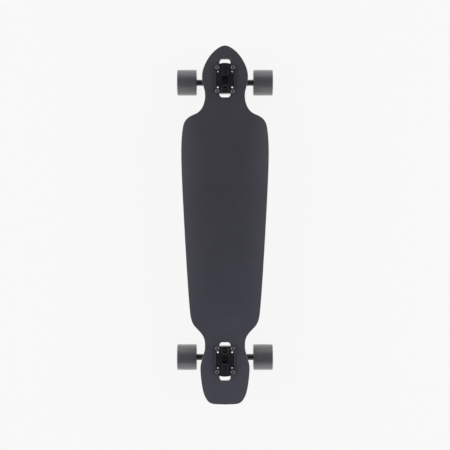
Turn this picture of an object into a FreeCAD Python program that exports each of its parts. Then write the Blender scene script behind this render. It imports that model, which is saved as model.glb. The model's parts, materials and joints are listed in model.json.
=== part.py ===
import FreeCAD, Part
import math
import os

import Sketcher
from FreeCAD import Placement, Rotation, Vector

# Driving dimensions in millimetres, apart from the angles (degrees) and the counts.
DRIVING_SIZES = {
    # deck, pressed from maple plies, nose towards +Y
    "deck_length": 965.0,
    "deck_width": 235.0,
    "deck_thickness": 11.5,
    "concave_rise": 6.0,
    "concave_blend": 110.0,
    "rail_radius_top": 0.8,
    "rail_radius_bottom": 3.6,
    "grip_thickness": 0.9,
    "grip_inset": 0.9,
    "grip_hole_margin": 0.3,
    "nose_overhang": 91.9,
    "tail_overhang": 119.9,
    # drop-through cut-out under each baseplate, measured from the middle of the bolts
    "slot_width": 29.2,
    "slot_reach_outer": 56.0,
    "slot_reach_inner": 47.5,
    "slot_corner": 8.0,
    "window_width": 46.0,
    "window_length": 47.0,
    "window_corner": 4.0,
    # baseplate flange
    "flange_thickness": 6.5,
    "flange_width": 51.4,
    "flange_outer": 34.8,
    "flange_inner": 37.6,
    "flange_crown": 9.3,
    "flange_corner": 5.0,
    "flange_edge": 1.2,
    "lobe_radius": 7.0,
    "bolt_spacing_across": 41.3,
    "bolt_spacing_along": 63.5,
    "spare_spacing_across": 38.6,
    "spare_spacing_along": 42.8,
    "spare_hole_radius": 2.4,
    # baseplate body that hangs through the cut-out
    "body_width": 27.0,
    "body_inner": 36.8,
    "body_outer": 43.2,
    "body_corner": 3.0,
    "ramp_half": 15.5,
    "ramp_thickness": 19.5,
    "shoulder_drop": 28.0,
    "casting_round": 2.0,
    "pivot_block_half": 12.0,
    "pivot_block_drop": 4.5,
    "pocket_width": 16.0,
    "pocket_length": 20.0,
    "pocket_centre": 2.3,
    "pocket_depth": 20.0,
    "pocket_corner": 3.0,
    "pad_width": 16.0,
    "pad_start": 10.5,
    "pad_end": 37.5,
    "pad_height": 2.0,
    "pad_edge": 1.0,
    "pad_corner": 3.0,
    "well_centre": 27.0,
    "well_radius": 8.3,
    "well_depth": 27.0,
    # steering geometry of the trucks
    "steer_angle": 50.0,
    "ring_offset": 18.5,
    "pivot_offset": 31.0,
    "truck_height": 65.0,
    # kingpin stack
    "kingpin_radius": 4.76,
    "kingpin_head_flats": 14.3,
    "kingpin_head_height": 8.0,
    "kingpin_point": 2.6,
    "kingpin_chamfer": 0.9,
    "kingpin_nut_flats": 14.3,
    "kingpin_nut_height": 8.5,
    "kingpin_nut_collar": 2.2,
    "bushing_radius": 13.0,
    "bushing_waist": 0.8,
    "boardside_bushing_height": 15.0,
    "roadside_bushing_height": 14.0,
    "bushing_chamfer": 1.0,
    "washer_thickness": 2.0,
    "washer_rim": 1.6,
    "washer_rim_wall": 1.2,
    "washer_bore_clearance": 0.25,
    # hanger
    "hanger_width": 180.0,
    "hanger_end_radius": 8.35,
    "hanger_mid_radius": 11.0,
    "hanger_taper_start": 18.0,
    "hanger_taper_end": 62.0,
    "hanger_chamfer": 1.0,
    "ring_web": 9.0,
    "ring_lip": 2.5,
    "ring_wall": 3.2,
    "ring_bore": 9.5,
    "wing_reach": 66.0,
    "wing_foot": 5.0,
    "wing_thickness": 8.4,
    "wing_hollow": 5.0,
    "wing_round": 2.5,
    "nose_root": 8.2,
    "nose_neck": 4.9,
    "nose_ball": 6.0,
    # pivot cup
    "cup_wall": 2.2,
    "cup_rim": 3.5,
    "cup_depth": 7.5,
    # axle and its hardware
    "axle_radius": 3.97,
    "axle_length": 250.0,
    "axle_chamfer": 0.8,
    "axle_nut_flats": 12.7,
    "axle_nut_height": 8.0,
    "axle_nut_collar": 2.0,
    "speed_washer_thickness": 1.0,
    "speed_washer_radius": 5.6,
    # wheels
    "wheel_radius": 35.0,
    "wheel_width": 52.3,
    "wheel_offset": 1.05,
    "lip_radius": 1.6,
    "dish_lip": 5.0,
    "dish_depth": 6.5,
    "core_radius": 18.0,
    "core_stop_radius": 9.4,
    "core_overhang": 0.6,
    "dish_step": 2.5,
    "core_pocket_radius": 1.9,
    "core_pocket_depth": 4.0,
    "core_pocket_count": 12,
    # bearings
    "bearing_radius": 11.0,
    "bearing_bore_radius": 4.0,
    "bearing_width": 7.0,
    "outer_land_radius": 9.1,
    "inner_land_radius": 6.0,
    "ball_radius": 1.984,
    "ball_pitch_radius": 7.5,
    "ball_count": 7,
    "cage_half_wall": 0.55,
    "cage_side": 0.35,
    "shield_thickness": 0.3,
    "spacer_length": 10.0,
    "spacer_wall": 1.3,
    # fasteners through the deck
    "bolt_radius": 2.4,
    "bolt_head_radius": 5.3,
    "bolt_head_height": 2.7,
    "bolt_head_round": 1.8,
    "bolt_socket_flats": 3.2,
    "bolt_socket_depth": 1.6,
    "bolt_nut_flats": 9.5,
    "bolt_nut_height": 5.2,
    "bolt_tail": 3.0,
    # clearances
    "seat_clearance": 0.02,
    "hole_clearance": 0.2,
    "running_clearance": 0.08,
    "drop_clearance": 0.3,
    "cut_overrun": 20.0,
}

# Half outline of the deck from nose to tail, as shares of its half length and half width.
OUTLINE_SHARES = [
    (1.0, 0.0), (0.983, 0.174), (0.950, 0.320), (0.905, 0.439), (0.861, 0.509),
    (0.828, 0.526), (0.783, 0.504), (0.738, 0.460), (0.705, 0.459), (0.672, 0.489),
    (0.649, 0.536), (0.627, 0.621), (0.611, 0.752), (0.594, 0.861), (0.567, 0.936),
    (0.527, 0.972), (0.460, 0.995), (0.393, 1.0), (0.260, 0.985), (0.059, 0.945),
    (-0.141, 0.899), (-0.342, 0.847), (-0.476, 0.803), (-0.531, 0.765), (-0.554, 0.723),
    (-0.576, 0.649), (-0.598, 0.564), (-0.620, 0.501), (-0.643, 0.467), (-0.670, 0.458),
    (-0.698, 0.466), (-0.721, 0.491), (-0.754, 0.531), (-0.776, 0.555), (-0.799, 0.563),
    (-0.854, 0.548), (-0.921, 0.505), (-0.966, 0.436), (-0.988, 0.361), (-0.999, 0.121),
    (-1.0, 0.0),
]

# The concave keeps its full rise between these shares of the half length, nose side and tail side.
CONCAVE_END_SHARES = (0.47, -0.47)

# Upper corners of the hanger's wings, as shares of the ring's radius across and up from its middle.
WING_SHARES = (0.75, 0.55)

doc = FreeCAD.newDocument("longboard")
sheet = doc.addObject("Spreadsheet::Sheet", "Sizes")
for row, (name, amount) in enumerate(DRIVING_SIZES.items(), start=1):
    cell = "A%d" % row
    sheet.set(cell, str(amount))
    sheet.setAlias(cell, name)
doc.recompute()


class Size:
    """A length worked out from the sheet: its number, and the expression that binds it."""

    def __init__(self, text, number):
        self.text = text
        self.number = number

    def joined(self, sign, other, number):
        other = as_size(other)
        return Size("(%s %s %s)" % (self.text, sign, other.text), number)

    def __add__(self, other):
        return self.joined("+", other, self.number + as_size(other).number)

    def __sub__(self, other):
        return self.joined("-", other, self.number - as_size(other).number)

    def __mul__(self, other):
        return self.joined("*", other, self.number * as_size(other).number)

    def __truediv__(self, other):
        return self.joined("/", other, self.number / as_size(other).number)

    def __neg__(self):
        return Size("(0 - %s)" % self.text, -self.number)


def as_size(value):
    return value if isinstance(value, Size) else Size(repr(value), float(value))


def size(name):
    return Size("Sizes." + name, float(sheet.get(name)))


def number(name):
    return float(sheet.get(name))


ZERO = as_size(0)
TILT = size("steer_angle")
COSINE = Size("cos(%s)" % TILT.text, math.cos(math.radians(TILT.number)))
SINE = Size("sin(%s)" % TILT.text, math.sin(math.radians(TILT.number)))
HEX_CORNER = 2 / math.sqrt(3)
SIX_SIDES = 6
GRID_ACROSS = 8
GRID_ALONG = 48
STEEP = 0.99
FULL_TURN = 360.0
HALF_TURN = 180.0
QUARTER_TURN = 90.0
X_AXIS = Vector(1, 0, 0)
Y_AXIS = Vector(0, 1, 0)
Z_AXIS = Vector(0, 0, 1)

sub_parts = []


def keep(obj, label):
    obj.Label = label
    sub_parts.append(obj)
    return obj


def flat(point):
    return Vector(as_size(point[0]).number, as_size(point[1]).number, 0)


def origin_item(body, role):
    return next(item for item in body.Origin.OriginFeatures if item.Role == role)


def new_body(name, place=Placement()):
    body = doc.addObject("PartDesign::Body", name)
    body.Label = name
    body.Placement = place
    return body


def bind(obj, prop, value):
    value = as_size(value)
    setattr(obj, prop, value.number)
    obj.setExpression(prop, value.text)


def bind_offset(obj, at):
    for axis, value in zip("xyz", at):
        obj.setExpression("AttachmentOffset.Base." + axis, as_size(value).text)


def new_sketch(body, role, name, lift=ZERO):
    sketch = body.newObject("Sketcher::SketchObject", name)
    sketch.AttachmentSupport = [(origin_item(body, role), "")]
    sketch.MapMode = "FlatFace"
    bind_offset(sketch, (ZERO, ZERO, lift))
    return sketch


def pin_point(sketch, shape, end, point):
    """Hold one point of a sketch at coordinates bound to the sheet."""
    for kind, axis, value in (("DistanceX", -2, point[0]), ("DistanceY", -1, point[1])):
        value = as_size(value)
        if value.text == ZERO.text:
            sketch.addConstraint(Sketcher.Constraint("PointOnObject", shape, end, axis))
        else:
            index = sketch.addConstraint(Sketcher.Constraint(kind, -1, 1, shape, end, value.number))
            sketch.setExpression("Constraints[%d]" % index, value.text)


def draw_outline(sketch, corners, arcs=None):
    """Closed outline through the corners; arcs gives, by edge, its height over the straight line."""
    ends = []
    count = len(corners)
    for index, corner in enumerate(corners):
        start = flat(corner)
        finish = flat(corners[(index + 1) % count])
        if arcs and index in arcs:
            side = Vector(0, 0, 1).cross(finish - start).normalize()
            middle = (start + finish) / 2 - side * arcs[index].number
            if arcs[index].number > 0:
                sketch.addGeometry(Part.Arc(start, middle, finish))
                ends.append((1, 2))
            else:
                sketch.addGeometry(Part.Arc(finish, middle, start))
                ends.append((2, 1))
        else:
            sketch.addGeometry(Part.LineSegment(start, finish))
            ends.append((1, 2))
    for index, corner in enumerate(corners):
        after = (index + 1) % count
        sketch.addConstraint(
            Sketcher.Constraint("Coincident", index, ends[index][1], after, ends[after][0]))
        pin_point(sketch, index, ends[index][0], corner)
    for index, rise in (arcs or {}).items():
        first = corners[index]
        last = corners[(index + 1) % count]
        across = as_size(last[0]) - as_size(first[0])
        along = as_size(last[1]) - as_size(first[1])
        bulge = rise if rise.number > 0 else -rise
        radius = (across * across + along * along) / (bulge * 8) + bulge / 2
        mark = sketch.addConstraint(Sketcher.Constraint("Radius", index, radius.number))
        sketch.setExpression("Constraints[%d]" % mark, radius.text)
    return sketch


def draw_axis(sketch, start, finish):
    line = sketch.addGeometry(Part.LineSegment(flat(start), flat(finish)), True)
    pin_point(sketch, line, 1, start)
    pin_point(sketch, line, 2, finish)
    return "Axis0"


def revolve(body, name, corners, role="XZ_Plane", axis="V_Axis", axis_line=None, cut=False, arcs=None):
    sketch = draw_outline(new_sketch(body, role, name + "_outline"), corners, arcs)
    if axis_line:
        axis = draw_axis(sketch, *axis_line)
    feature = body.newObject("PartDesign::Groove" if cut else "PartDesign::Revolution", name)
    feature.Profile = sketch
    feature.ReferenceAxis = (sketch, [axis])
    feature.Angle = FULL_TURN
    return feature


def pad(body, name, sketch, length, both_sides=False):
    feature = body.newObject("PartDesign::Pad", name)
    feature.Profile = sketch
    feature.Midplane = both_sides
    bind(feature, "Length", length)
    return feature


def primitive(body, kind, name, sizes, at=(ZERO, ZERO, ZERO), turn=Rotation()):
    item = body.newObject("PartDesign::" + kind, name)
    item.AttachmentSupport = [(origin_item(body, "XY_Plane"), "")]
    item.MapMode = "FlatFace"
    item.AttachmentOffset = Placement(Vector(*[as_size(value).number for value in at]), turn)
    bind_offset(item, at)
    for prop, value in sizes.items():
        bind(item, prop, value)
    return item


def hex_prism(body, kind, name, flats, height, at=(ZERO, ZERO, ZERO)):
    prism = primitive(body, kind, name, {"Circumradius": flats * HEX_CORNER / 2, "Height": height}, at)
    prism.Polygon = SIX_SIDES
    return prism


def polar_pattern(body, features, count):
    """Repeat features evenly round the body's Z axis."""
    pattern = body.newObject("PartDesign::PolarPattern", "pattern")
    pattern.Originals = features
    pattern.Axis = (origin_item(body, "Z_Axis"), [""])
    pattern.Angle = FULL_TURN
    pattern.Occurrences = int(number(count))
    pattern.setExpression("Occurrences", size(count).text)
    body.Tip = pattern


def round_edges(body, name, radius, wanted):
    """Round the edges of the body's last feature for which wanted(edge) holds."""
    doc.recompute()
    base = body.Tip
    edges = ["Edge%d" % place for place, edge in enumerate(base.Shape.Edges, start=1) if wanted(edge)]
    fillet = body.newObject("PartDesign::Fillet", name)
    fillet.Base = (base, edges)
    bind(fillet, "Radius", radius)
    return fillet


def group(label, master, places):
    """One sub-part made of equal solids: the master's shape, set down at each place."""
    doc.recompute()
    shape = master.Shape.copy()
    solids = []
    for place in places:
        solid = shape.copy()
        solid.Placement = place.multiply(shape.Placement)
        solids.append(solid)
    item = doc.addObject("Part::Feature", label)
    item.Shape = Part.makeCompound(solids)
    return keep(item, label)


# Levels and places that several sub-parts share.
AXLE_Z = size("wheel_radius")
PLATE_TOP = AXLE_Z + size("truck_height")
FLANGE_BOTTOM = PLATE_TOP - size("flange_thickness")
DECK_TOP = FLANGE_BOTTOM - size("grip_thickness") - size("seat_clearance")
DECK_BOTTOM = DECK_TOP - size("deck_thickness")
FRONT_Y = size("deck_length") / 2 - size("nose_overhang")
REAR_Y = size("tail_overhang") - size("deck_length") / 2
BOLT_X = size("bolt_spacing_across") / 2
BOLT_Y = size("bolt_spacing_along") / 2
SPARE_X = size("spare_spacing_across") / 2
SPARE_Y = size("spare_spacing_along") / 2
TRUCKS = (
    ("front", Placement(Vector(0, FRONT_Y.number, 0), Rotation())),
    ("rear", Placement(Vector(0, REAR_Y.number, 0), Rotation(Z_AXIS, HALF_TURN))),
)
CORNER_SIGNS = ((1, 1), (-1, 1), (-1, -1), (1, -1))


# Deck and grip tape
def closed_edge(points):
    """Smooth closed curve that leaves the nose tip and comes back to it square to the centre line."""
    curve = Part.BSplineCurve()
    curve.interpolate(Points=points, InitialTangent=X_AXIS, FinalTangent=X_AXIS, Scale=False)
    return curve


def deck_edge(inset):
    """Closed outline of the deck in plan, drawn in by the inset."""
    half_length = number("deck_length") / 2
    half_width = number("deck_width") / 2
    right = [Vector(half_width * across, half_length * along, 0) for along, across in OUTLINE_SHARES]
    points = right + [Vector(-point.x, point.y, 0) for point in reversed(right[:-1])]
    curve = closed_edge(points)
    if inset:
        headings = [curve.tangent(curve.parameter(point))[0] for point in points]
        points = [point + heading.cross(Z_AXIS) * inset for point, heading in zip(points, headings)]
        curve = closed_edge(points)
    return Part.Wire([curve.toShape()])


def concave_height(x, y):
    """Height of the deck's top over its flat ends: raised rails between the trucks."""
    half_length = number("deck_length") / 2
    nose_end, tail_end = (half_length * share for share in CONCAVE_END_SHARES)
    past = max(y - nose_end, tail_end - y, 0)
    blend = max(1 - past / number("concave_blend"), 0)
    fade = blend * blend * (3 - 2 * blend)
    return number("concave_rise") * fade * (x / (number("deck_width") / 2)) ** 2


def pressed_surface():
    """The pressed top face of the deck, a little larger than the deck."""
    reach_x = number("deck_width") / 2 + number("cut_overrun")
    reach_y = number("deck_length") / 2 + number("cut_overrun")
    columns = [reach_x * (2 * step / GRID_ACROSS - 1) for step in range(GRID_ACROSS + 1)]
    rows = [reach_y * (2 * step / GRID_ALONG - 1) for step in range(GRID_ALONG + 1)]
    top = DECK_TOP.number
    grid = [[Vector(x, y, top + concave_height(x, y)) for y in rows] for x in columns]
    surface = Part.BSplineSurface()
    surface.interpolate(grid)
    return surface.toShape()


def rounded_box(width, low_y, high_y, corner, low_z, high_z):
    box = Part.makeBox(width, high_y - low_y, high_z - low_z, Vector(-width / 2, low_y, low_z))
    upright = [edge for edge in box.Edges if abs(edge.tangentAt(edge.FirstParameter).z) > STEEP]
    return box.makeFillet(corner, upright)


def truck_opening(margin):
    """Prism of one drop-through cut-out and its four bolt holes, about the middle of the bolts."""
    overrun = number("cut_overrun")
    low = DECK_BOTTOM.number - overrun
    high = DECK_TOP.number + overrun
    slot = rounded_box(number("slot_width") + 2 * margin, -number("slot_reach_inner") - margin,
                       number("slot_reach_outer") + margin, number("slot_corner"), low, high)
    half_window = number("window_length") / 2 + margin
    window = rounded_box(number("window_width") + 2 * margin, -half_window, half_window,
                         number("window_corner"), low, high)
    opening = slot.fuse(window)
    hole_radius = number("bolt_radius") + number("hole_clearance") + margin
    for side_x, side_y in CORNER_SIGNS:
        foot = Vector(side_x * BOLT_X.number, side_y * BOLT_Y.number, low)
        opening = opening.fuse(Part.makeCylinder(hole_radius, high - low, foot))
    return opening


def cut_truck_openings(shape, margin):
    for _, place in TRUCKS:
        cutter = truck_opening(margin)
        cutter.Placement = place.multiply(cutter.Placement)
        shape = shape.cut(cutter)
    return shape.removeSplitter()


def pressed_sheet(edge, rise, drop):
    """Part of the pressed form inside an outline, from drop below the top face to rise over it."""
    overrun = number("cut_overrun")
    low = DECK_BOTTOM.number - overrun
    column = Part.Face(edge).extrude(Vector(0, 0, DECK_TOP.number + overrun - low))
    column.translate(Vector(0, 0, low))
    skin = pressed_surface()
    skin.translate(Vector(0, 0, -drop))
    slab = skin.extrude(Vector(0, 0, rise + drop))
    return slab.common(column)


def build_deck():
    solid = pressed_sheet(deck_edge(0), 0, number("deck_thickness"))
    solid = solid.Solids[0]
    for radius, pick in (("rail_radius_bottom", min), ("rail_radius_top", max)):
        rails = [edge for edge in solid.Edges if edge.Length > number("deck_length")]
        rail = pick(rails, key=lambda edge: edge.BoundBox.ZMin)
        solid = solid.makeFillet(number(radius), [rail])
    deck = doc.addObject("Part::Feature", "deck")
    deck.Shape = cut_truck_openings(solid, 0).Solids[0]
    keep(deck, "deck")


def build_grip_tape():
    gap = number("seat_clearance")
    sheet_solid = pressed_sheet(deck_edge(number("grip_inset")), gap + number("grip_thickness"), -gap)
    grip = doc.addObject("Part::Feature", "grip_tape")
    grip.Shape = cut_truck_openings(sheet_solid, number("grip_hole_margin")).Solids[0]
    keep(grip, "grip_tape")


# Trucks. Each is laid out about the middle of its deck bolts, with +Y towards its end of the board.
# The steering axis rises outwards through the axle, the ring and the pivot; the kingpin crosses it
# square at the ring, and points down and outwards.
def steer_point(past_ring, down_kingpin):
    """Side-view place of a point given along the steering axis and along the kingpin."""
    along = size("ring_offset") + past_ring
    across = along * COSINE + down_kingpin * SINE
    return across, AXLE_Z + along * SINE - down_kingpin * COSINE


def truck_place(point, turn):
    """Place in the truck of a piece whose own axis is turned about X by the angle."""
    return Placement(Vector(0, point[0].number, point[1].number), Rotation(X_AXIS, turn))


KINGPIN_TURN = TILT.number - HALF_TURN
STEER_TURN = TILT.number - QUARTER_TURN
RING_CENTRE = steer_point(ZERO, ZERO)
PIVOT_CENTRE = steer_point(size("pivot_offset"), ZERO)
HALF_WEB = size("ring_web") / 2
BOARDSIDE_SEAT = -HALF_WEB - size("boardside_bushing_height") - size("washer_thickness")
ROADSIDE_SEAT = HALF_WEB + size("roadside_bushing_height") + size("washer_thickness")
HEAD_SEAT = BOARDSIDE_SEAT - size("ramp_thickness")
KINGPIN_END = ROADSIDE_SEAT + size("kingpin_nut_height") + size("kingpin_point")
CUP_RADIUS = size("nose_ball") + size("running_clearance") + size("cup_wall")


def truck_body(name, truck, point=(ZERO, ZERO), turn=0.0):
    side, place = truck
    label = side + "_" + name
    return keep(new_body(label, place.multiply(truck_place(point, turn))), label)


def upright(edge):
    return abs(edge.tangentAt(edge.FirstParameter).z) > STEEP


def on_plate_top(edge):
    box = edge.BoundBox
    return box.ZMin > PLATE_TOP.number - number("seat_clearance")


def build_pad(body):
    """Raised pad over the pivot, with rounded corners and edges."""
    width = size("pad_width")
    primitive(body, "AdditiveBox", "pad",
              {"Length": width, "Width": size("pad_end") - size("pad_start"),
               "Height": size("flange_thickness") + size("pad_height")},
              (-width / 2, size("pad_start"), FLANGE_BOTTOM))

    def pad_corner(edge):
        return upright(edge) and edge.BoundBox.ZMax > PLATE_TOP.number + number("pad_height") / 2

    def pad_rim(edge):
        return edge.BoundBox.ZMin > PLATE_TOP.number + number("pad_height") / 2

    round_edges(body, "pad_corners", size("pad_corner"), pad_corner)
    round_edges(body, "pad_rim", size("pad_edge"), pad_rim)


def build_baseplate(truck):
    body = truck_body("baseplate", truck)
    half_width = size("flange_width") / 2
    flange = draw_outline(
        new_sketch(body, "XY_Plane", "flange_outline", FLANGE_BOTTOM),
        [(half_width, -size("flange_inner")), (half_width, size("flange_outer")),
         (-half_width, size("flange_outer")), (-half_width, -size("flange_inner"))],
        {1: size("flange_crown")})
    pad(body, "flange", flange, size("flange_thickness"))
    round_edges(body, "flange_corners", size("flange_corner"), upright)
    for index, (side_x, side_y) in enumerate(CORNER_SIGNS):
        primitive(body, "AdditiveCylinder", "lobe_%d" % index,
                  {"Radius": size("lobe_radius"), "Height": size("flange_thickness")},
                  (BOLT_X * side_x, BOLT_Y * side_y, FLANGE_BOTTOM))
    round_edges(body, "flange_edge", size("flange_edge"), on_plate_top)
    build_pad(body)
    middle = FLANGE_BOTTOM + size("flange_thickness") / 2
    low_seat = steer_point(-size("ramp_half"), BOARDSIDE_SEAT)
    high_seat = steer_point(size("ramp_half"), BOARDSIDE_SEAT)
    low_back = steer_point(-size("ramp_half"), HEAD_SEAT)
    face = size("pivot_offset") - size("pivot_block_drop")
    casting = draw_outline(
        new_sketch(body, "YZ_Plane", "casting_outline"),
        [(-size("body_inner"), middle), (-size("body_inner"), PLATE_TOP - size("shoulder_drop")),
         low_back, low_seat, high_seat, steer_point(face, -size("pivot_block_half")),
         steer_point(face, size("pivot_block_half")),
         (size("body_outer"), steer_point(face, size("pivot_block_half"))[1] + size("body_corner")),
         (size("body_outer"), middle)])
    pad(body, "casting", casting, size("body_width"), both_sides=True)

    def on_casting_rim(edge):
        box = edge.BoundBox
        below = box.ZMax < FLANGE_BOTTOM.number - number("seat_clearance")
        return below and box.XLength < number("seat_clearance")

    round_edges(body, "casting_rims", size("casting_round"), on_casting_rim)
    cut_baseplate(body)


def cut_baseplate(body):
    overrun = size("cut_overrun")
    for index, (side_x, side_y) in enumerate(CORNER_SIGNS):
        primitive(body, "SubtractiveCylinder", "bolt_hole_%d" % index,
                  {"Radius": size("bolt_radius") + size("hole_clearance"),
                   "Height": size("flange_thickness") + overrun},
                  (BOLT_X * side_x, BOLT_Y * side_y, FLANGE_BOTTOM - overrun / 2))
        primitive(body, "SubtractiveCylinder", "spare_hole_%d" % index,
                  {"Radius": size("spare_hole_radius"), "Height": size("flange_thickness") + overrun},
                  (SPARE_X * side_x, SPARE_Y * side_y, FLANGE_BOTTOM - overrun / 2))
    primitive(body, "SubtractiveBox", "pocket",
              {"Length": size("pocket_width"), "Width": size("pocket_length"),
               "Height": size("pocket_depth") + overrun},
              (-size("pocket_width") / 2, -size("pocket_centre") - size("pocket_length") / 2,
               PLATE_TOP - size("pocket_depth")))

    def on_pocket(edge):
        return upright(edge) and abs(abs(edge.CenterOfMass.x) - number("pocket_width") / 2) < number(
            "seat_clearance") and edge.Length > number("pocket_depth") / 2

    round_edges(body, "pocket_corners", size("pocket_corner"), on_pocket)
    primitive(body, "SubtractiveCylinder", "well",
              {"Radius": size("well_radius"), "Height": size("well_depth") + overrun},
              (ZERO, -size("well_centre"), PLATE_TOP - size("well_depth")))
    axis = (steer_point(ZERO, HEAD_SEAT - overrun), steer_point(ZERO, ZERO))
    head_radius = size("kingpin_head_flats") * HEX_CORNER / 2 + size("hole_clearance")
    head_top = HEAD_SEAT - size("kingpin_head_height") - size("hole_clearance")
    bore = size("kingpin_radius") + size("seat_clearance")
    revolve(body, "kingpin_bore", [
        steer_point(ZERO, head_top), steer_point(head_radius, head_top),
        steer_point(head_radius, HEAD_SEAT), steer_point(bore, HEAD_SEAT),
        steer_point(bore, BOARDSIDE_SEAT + overrun), steer_point(ZERO, BOARDSIDE_SEAT + overrun)],
        role="YZ_Plane", axis_line=axis, cut=True)
    pivot = size("pivot_offset")
    mouth = pivot - size("pivot_block_drop") - overrun
    cup_top = pivot + size("cup_depth")
    socket = CUP_RADIUS + size("seat_clearance")
    revolve(body, "pivot_socket", [
        steer_point(mouth, ZERO), steer_point(mouth, socket),
        steer_point(cup_top, socket), steer_point(cup_top, ZERO)],
        role="YZ_Plane", axis_line=(steer_point(ZERO, ZERO), steer_point(pivot, ZERO)), cut=True)


def build_pivot_cup(truck):
    """Urethane cup: a closed end over the ball of the hanger's nose, and an open mouth below."""
    body = truck_body("pivot_cup", truck, PIVOT_CENTRE, STEER_TURN)
    primitive(body, "AdditiveCylinder", "cup",
              {"Radius": CUP_RADIUS, "Height": size("cup_rim") + size("cup_depth")},
              (ZERO, ZERO, -size("cup_rim")))
    inside = size("nose_ball") + size("running_clearance")
    primitive(body, "SubtractiveSphere", "ball_seat", {"Radius": inside})
    primitive(body, "SubtractiveCylinder", "mouth",
              {"Radius": inside, "Height": size("cup_rim") + size("cut_overrun")},
              (ZERO, ZERO, -size("cup_rim") - size("cut_overrun")))
    return body


def build_kingpin(truck):
    body = truck_body("kingpin", truck, RING_CENTRE, KINGPIN_TURN)
    hex_prism(body, "AdditivePrism", "head", size("kingpin_head_flats"), size("kingpin_head_height"),
              (ZERO, ZERO, HEAD_SEAT - size("kingpin_head_height")))
    radius = size("kingpin_radius")
    chamfer = size("kingpin_chamfer")
    revolve(body, "shank", [
        (ZERO, HEAD_SEAT), (radius, HEAD_SEAT), (radius, KINGPIN_END - chamfer),
        (radius - chamfer, KINGPIN_END), (ZERO, KINGPIN_END)])
    return body


def build_washer(name, truck, seat, towards):
    """Cup washer: a flat ring with a rim that holds the end of the bushing."""
    body = truck_body(name, truck, RING_CENTRE, KINGPIN_TURN)
    bore = size("kingpin_radius") + size("washer_bore_clearance")
    inside = size("bushing_radius") + size("drop_clearance")
    outside = inside + size("washer_rim_wall")
    face = seat + size("washer_thickness") * towards
    rim = face + size("washer_rim") * towards
    revolve(body, "washer", [
        (bore, seat), (outside, seat), (outside, rim), (inside, rim), (inside, face), (bore, face)])


def build_bushing(name, truck, start, height):
    """Barrel bushing with a slight waist and broken edges."""
    body = truck_body(name, truck, RING_CENTRE, KINGPIN_TURN)
    bore = size("kingpin_radius") + size("washer_bore_clearance")
    radius = size("bushing_radius")
    chamfer = size("bushing_chamfer")
    revolve(body, "barrel", [
        (bore, start), (radius - chamfer, start), (radius, start + chamfer),
        (radius, start + height - chamfer), (radius - chamfer, start + height), (bore, start + height)],
        arcs={2: -size("bushing_waist")})


def build_kingpin_nut(truck):
    """Lock nut: a hexagon with a round collar on its free end."""
    body = truck_body("kingpin_nut", truck, RING_CENTRE, KINGPIN_TURN)
    hex_prism(body, "AdditivePrism", "hexagon", size("kingpin_nut_flats"),
              size("kingpin_nut_height") - size("kingpin_nut_collar"), (ZERO, ZERO, ROADSIDE_SEAT))
    primitive(body, "AdditiveCylinder", "collar",
              {"Radius": size("kingpin_nut_flats") / 2 - size("kingpin_chamfer"),
               "Height": size("kingpin_nut_height")}, (ZERO, ZERO, ROADSIDE_SEAT))
    primitive(body, "SubtractiveCylinder", "thread",
              {"Radius": size("kingpin_radius") + size("seat_clearance"),
               "Height": size("kingpin_nut_height") + size("cut_overrun") * 2},
              (ZERO, ZERO, ROADSIDE_SEAT - size("cut_overrun")))


def build_hanger(truck):
    """Cast hanger in its own frame: axle along X, kingpin along Y, steering axis along Z."""
    body = truck_body("hanger", truck, (ZERO, AXLE_Z), STEER_TURN)
    half = size("hanger_width") / 2
    thin = size("hanger_end_radius")
    thick = size("hanger_mid_radius")
    chamfer = size("hanger_chamfer")
    near = size("hanger_taper_start")
    far = size("hanger_taper_end")
    revolve(body, "axle_tube", [
        (-half, ZERO), (-half, thin - chamfer), (-half + chamfer, thin), (-far, thin), (-near, thick),
        (near, thick), (far, thin), (half - chamfer, thin), (half, thin - chamfer), (half, ZERO)],
        axis="H_Axis")
    centre = size("ring_offset")
    ring_radius = size("bushing_radius") + size("drop_clearance") + size("ring_wall")
    ring_depth = size("ring_web") + size("ring_lip") * 2
    across = Rotation(X_AXIS, QUARTER_TURN)
    primitive(body, "AdditiveCylinder", "ring", {"Radius": ring_radius, "Height": ring_depth},
              (ZERO, ring_depth / 2, centre), across)
    reach = size("wing_reach")
    foot = size("wing_foot")
    crest_x = ring_radius * WING_SHARES[0]
    crest_z = centre + ring_radius * WING_SHARES[1]
    wing = draw_outline(
        new_sketch(body, "XZ_Plane", "wing_outline"),
        [(-reach, foot), (-crest_x, crest_z), (crest_x, crest_z), (reach, foot)],
        {0: size("wing_hollow"), 2: size("wing_hollow")})
    pad(body, "wings", wing, size("wing_thickness"), both_sides=True)

    def on_wing(edge):
        box = edge.BoundBox
        return (box.XLength > ring_radius.number / 2 and box.ZLength > ring_radius.number / 2
                and box.YLength < number("seat_clearance"))

    round_edges(body, "wing_edges", size("wing_round"), on_wing)
    pivot = centre + size("pivot_offset")
    revolve(body, "nose", [
        (ZERO, centre), (size("nose_root"), centre), (size("nose_root"), centre + ring_radius),
        (size("nose_neck"), pivot), (ZERO, pivot)])
    primitive(body, "AdditiveSphere", "nose_ball", {"Radius": size("nose_ball")}, (ZERO, ZERO, pivot))
    cut_hanger(body, centre, ring_depth, across)


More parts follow.
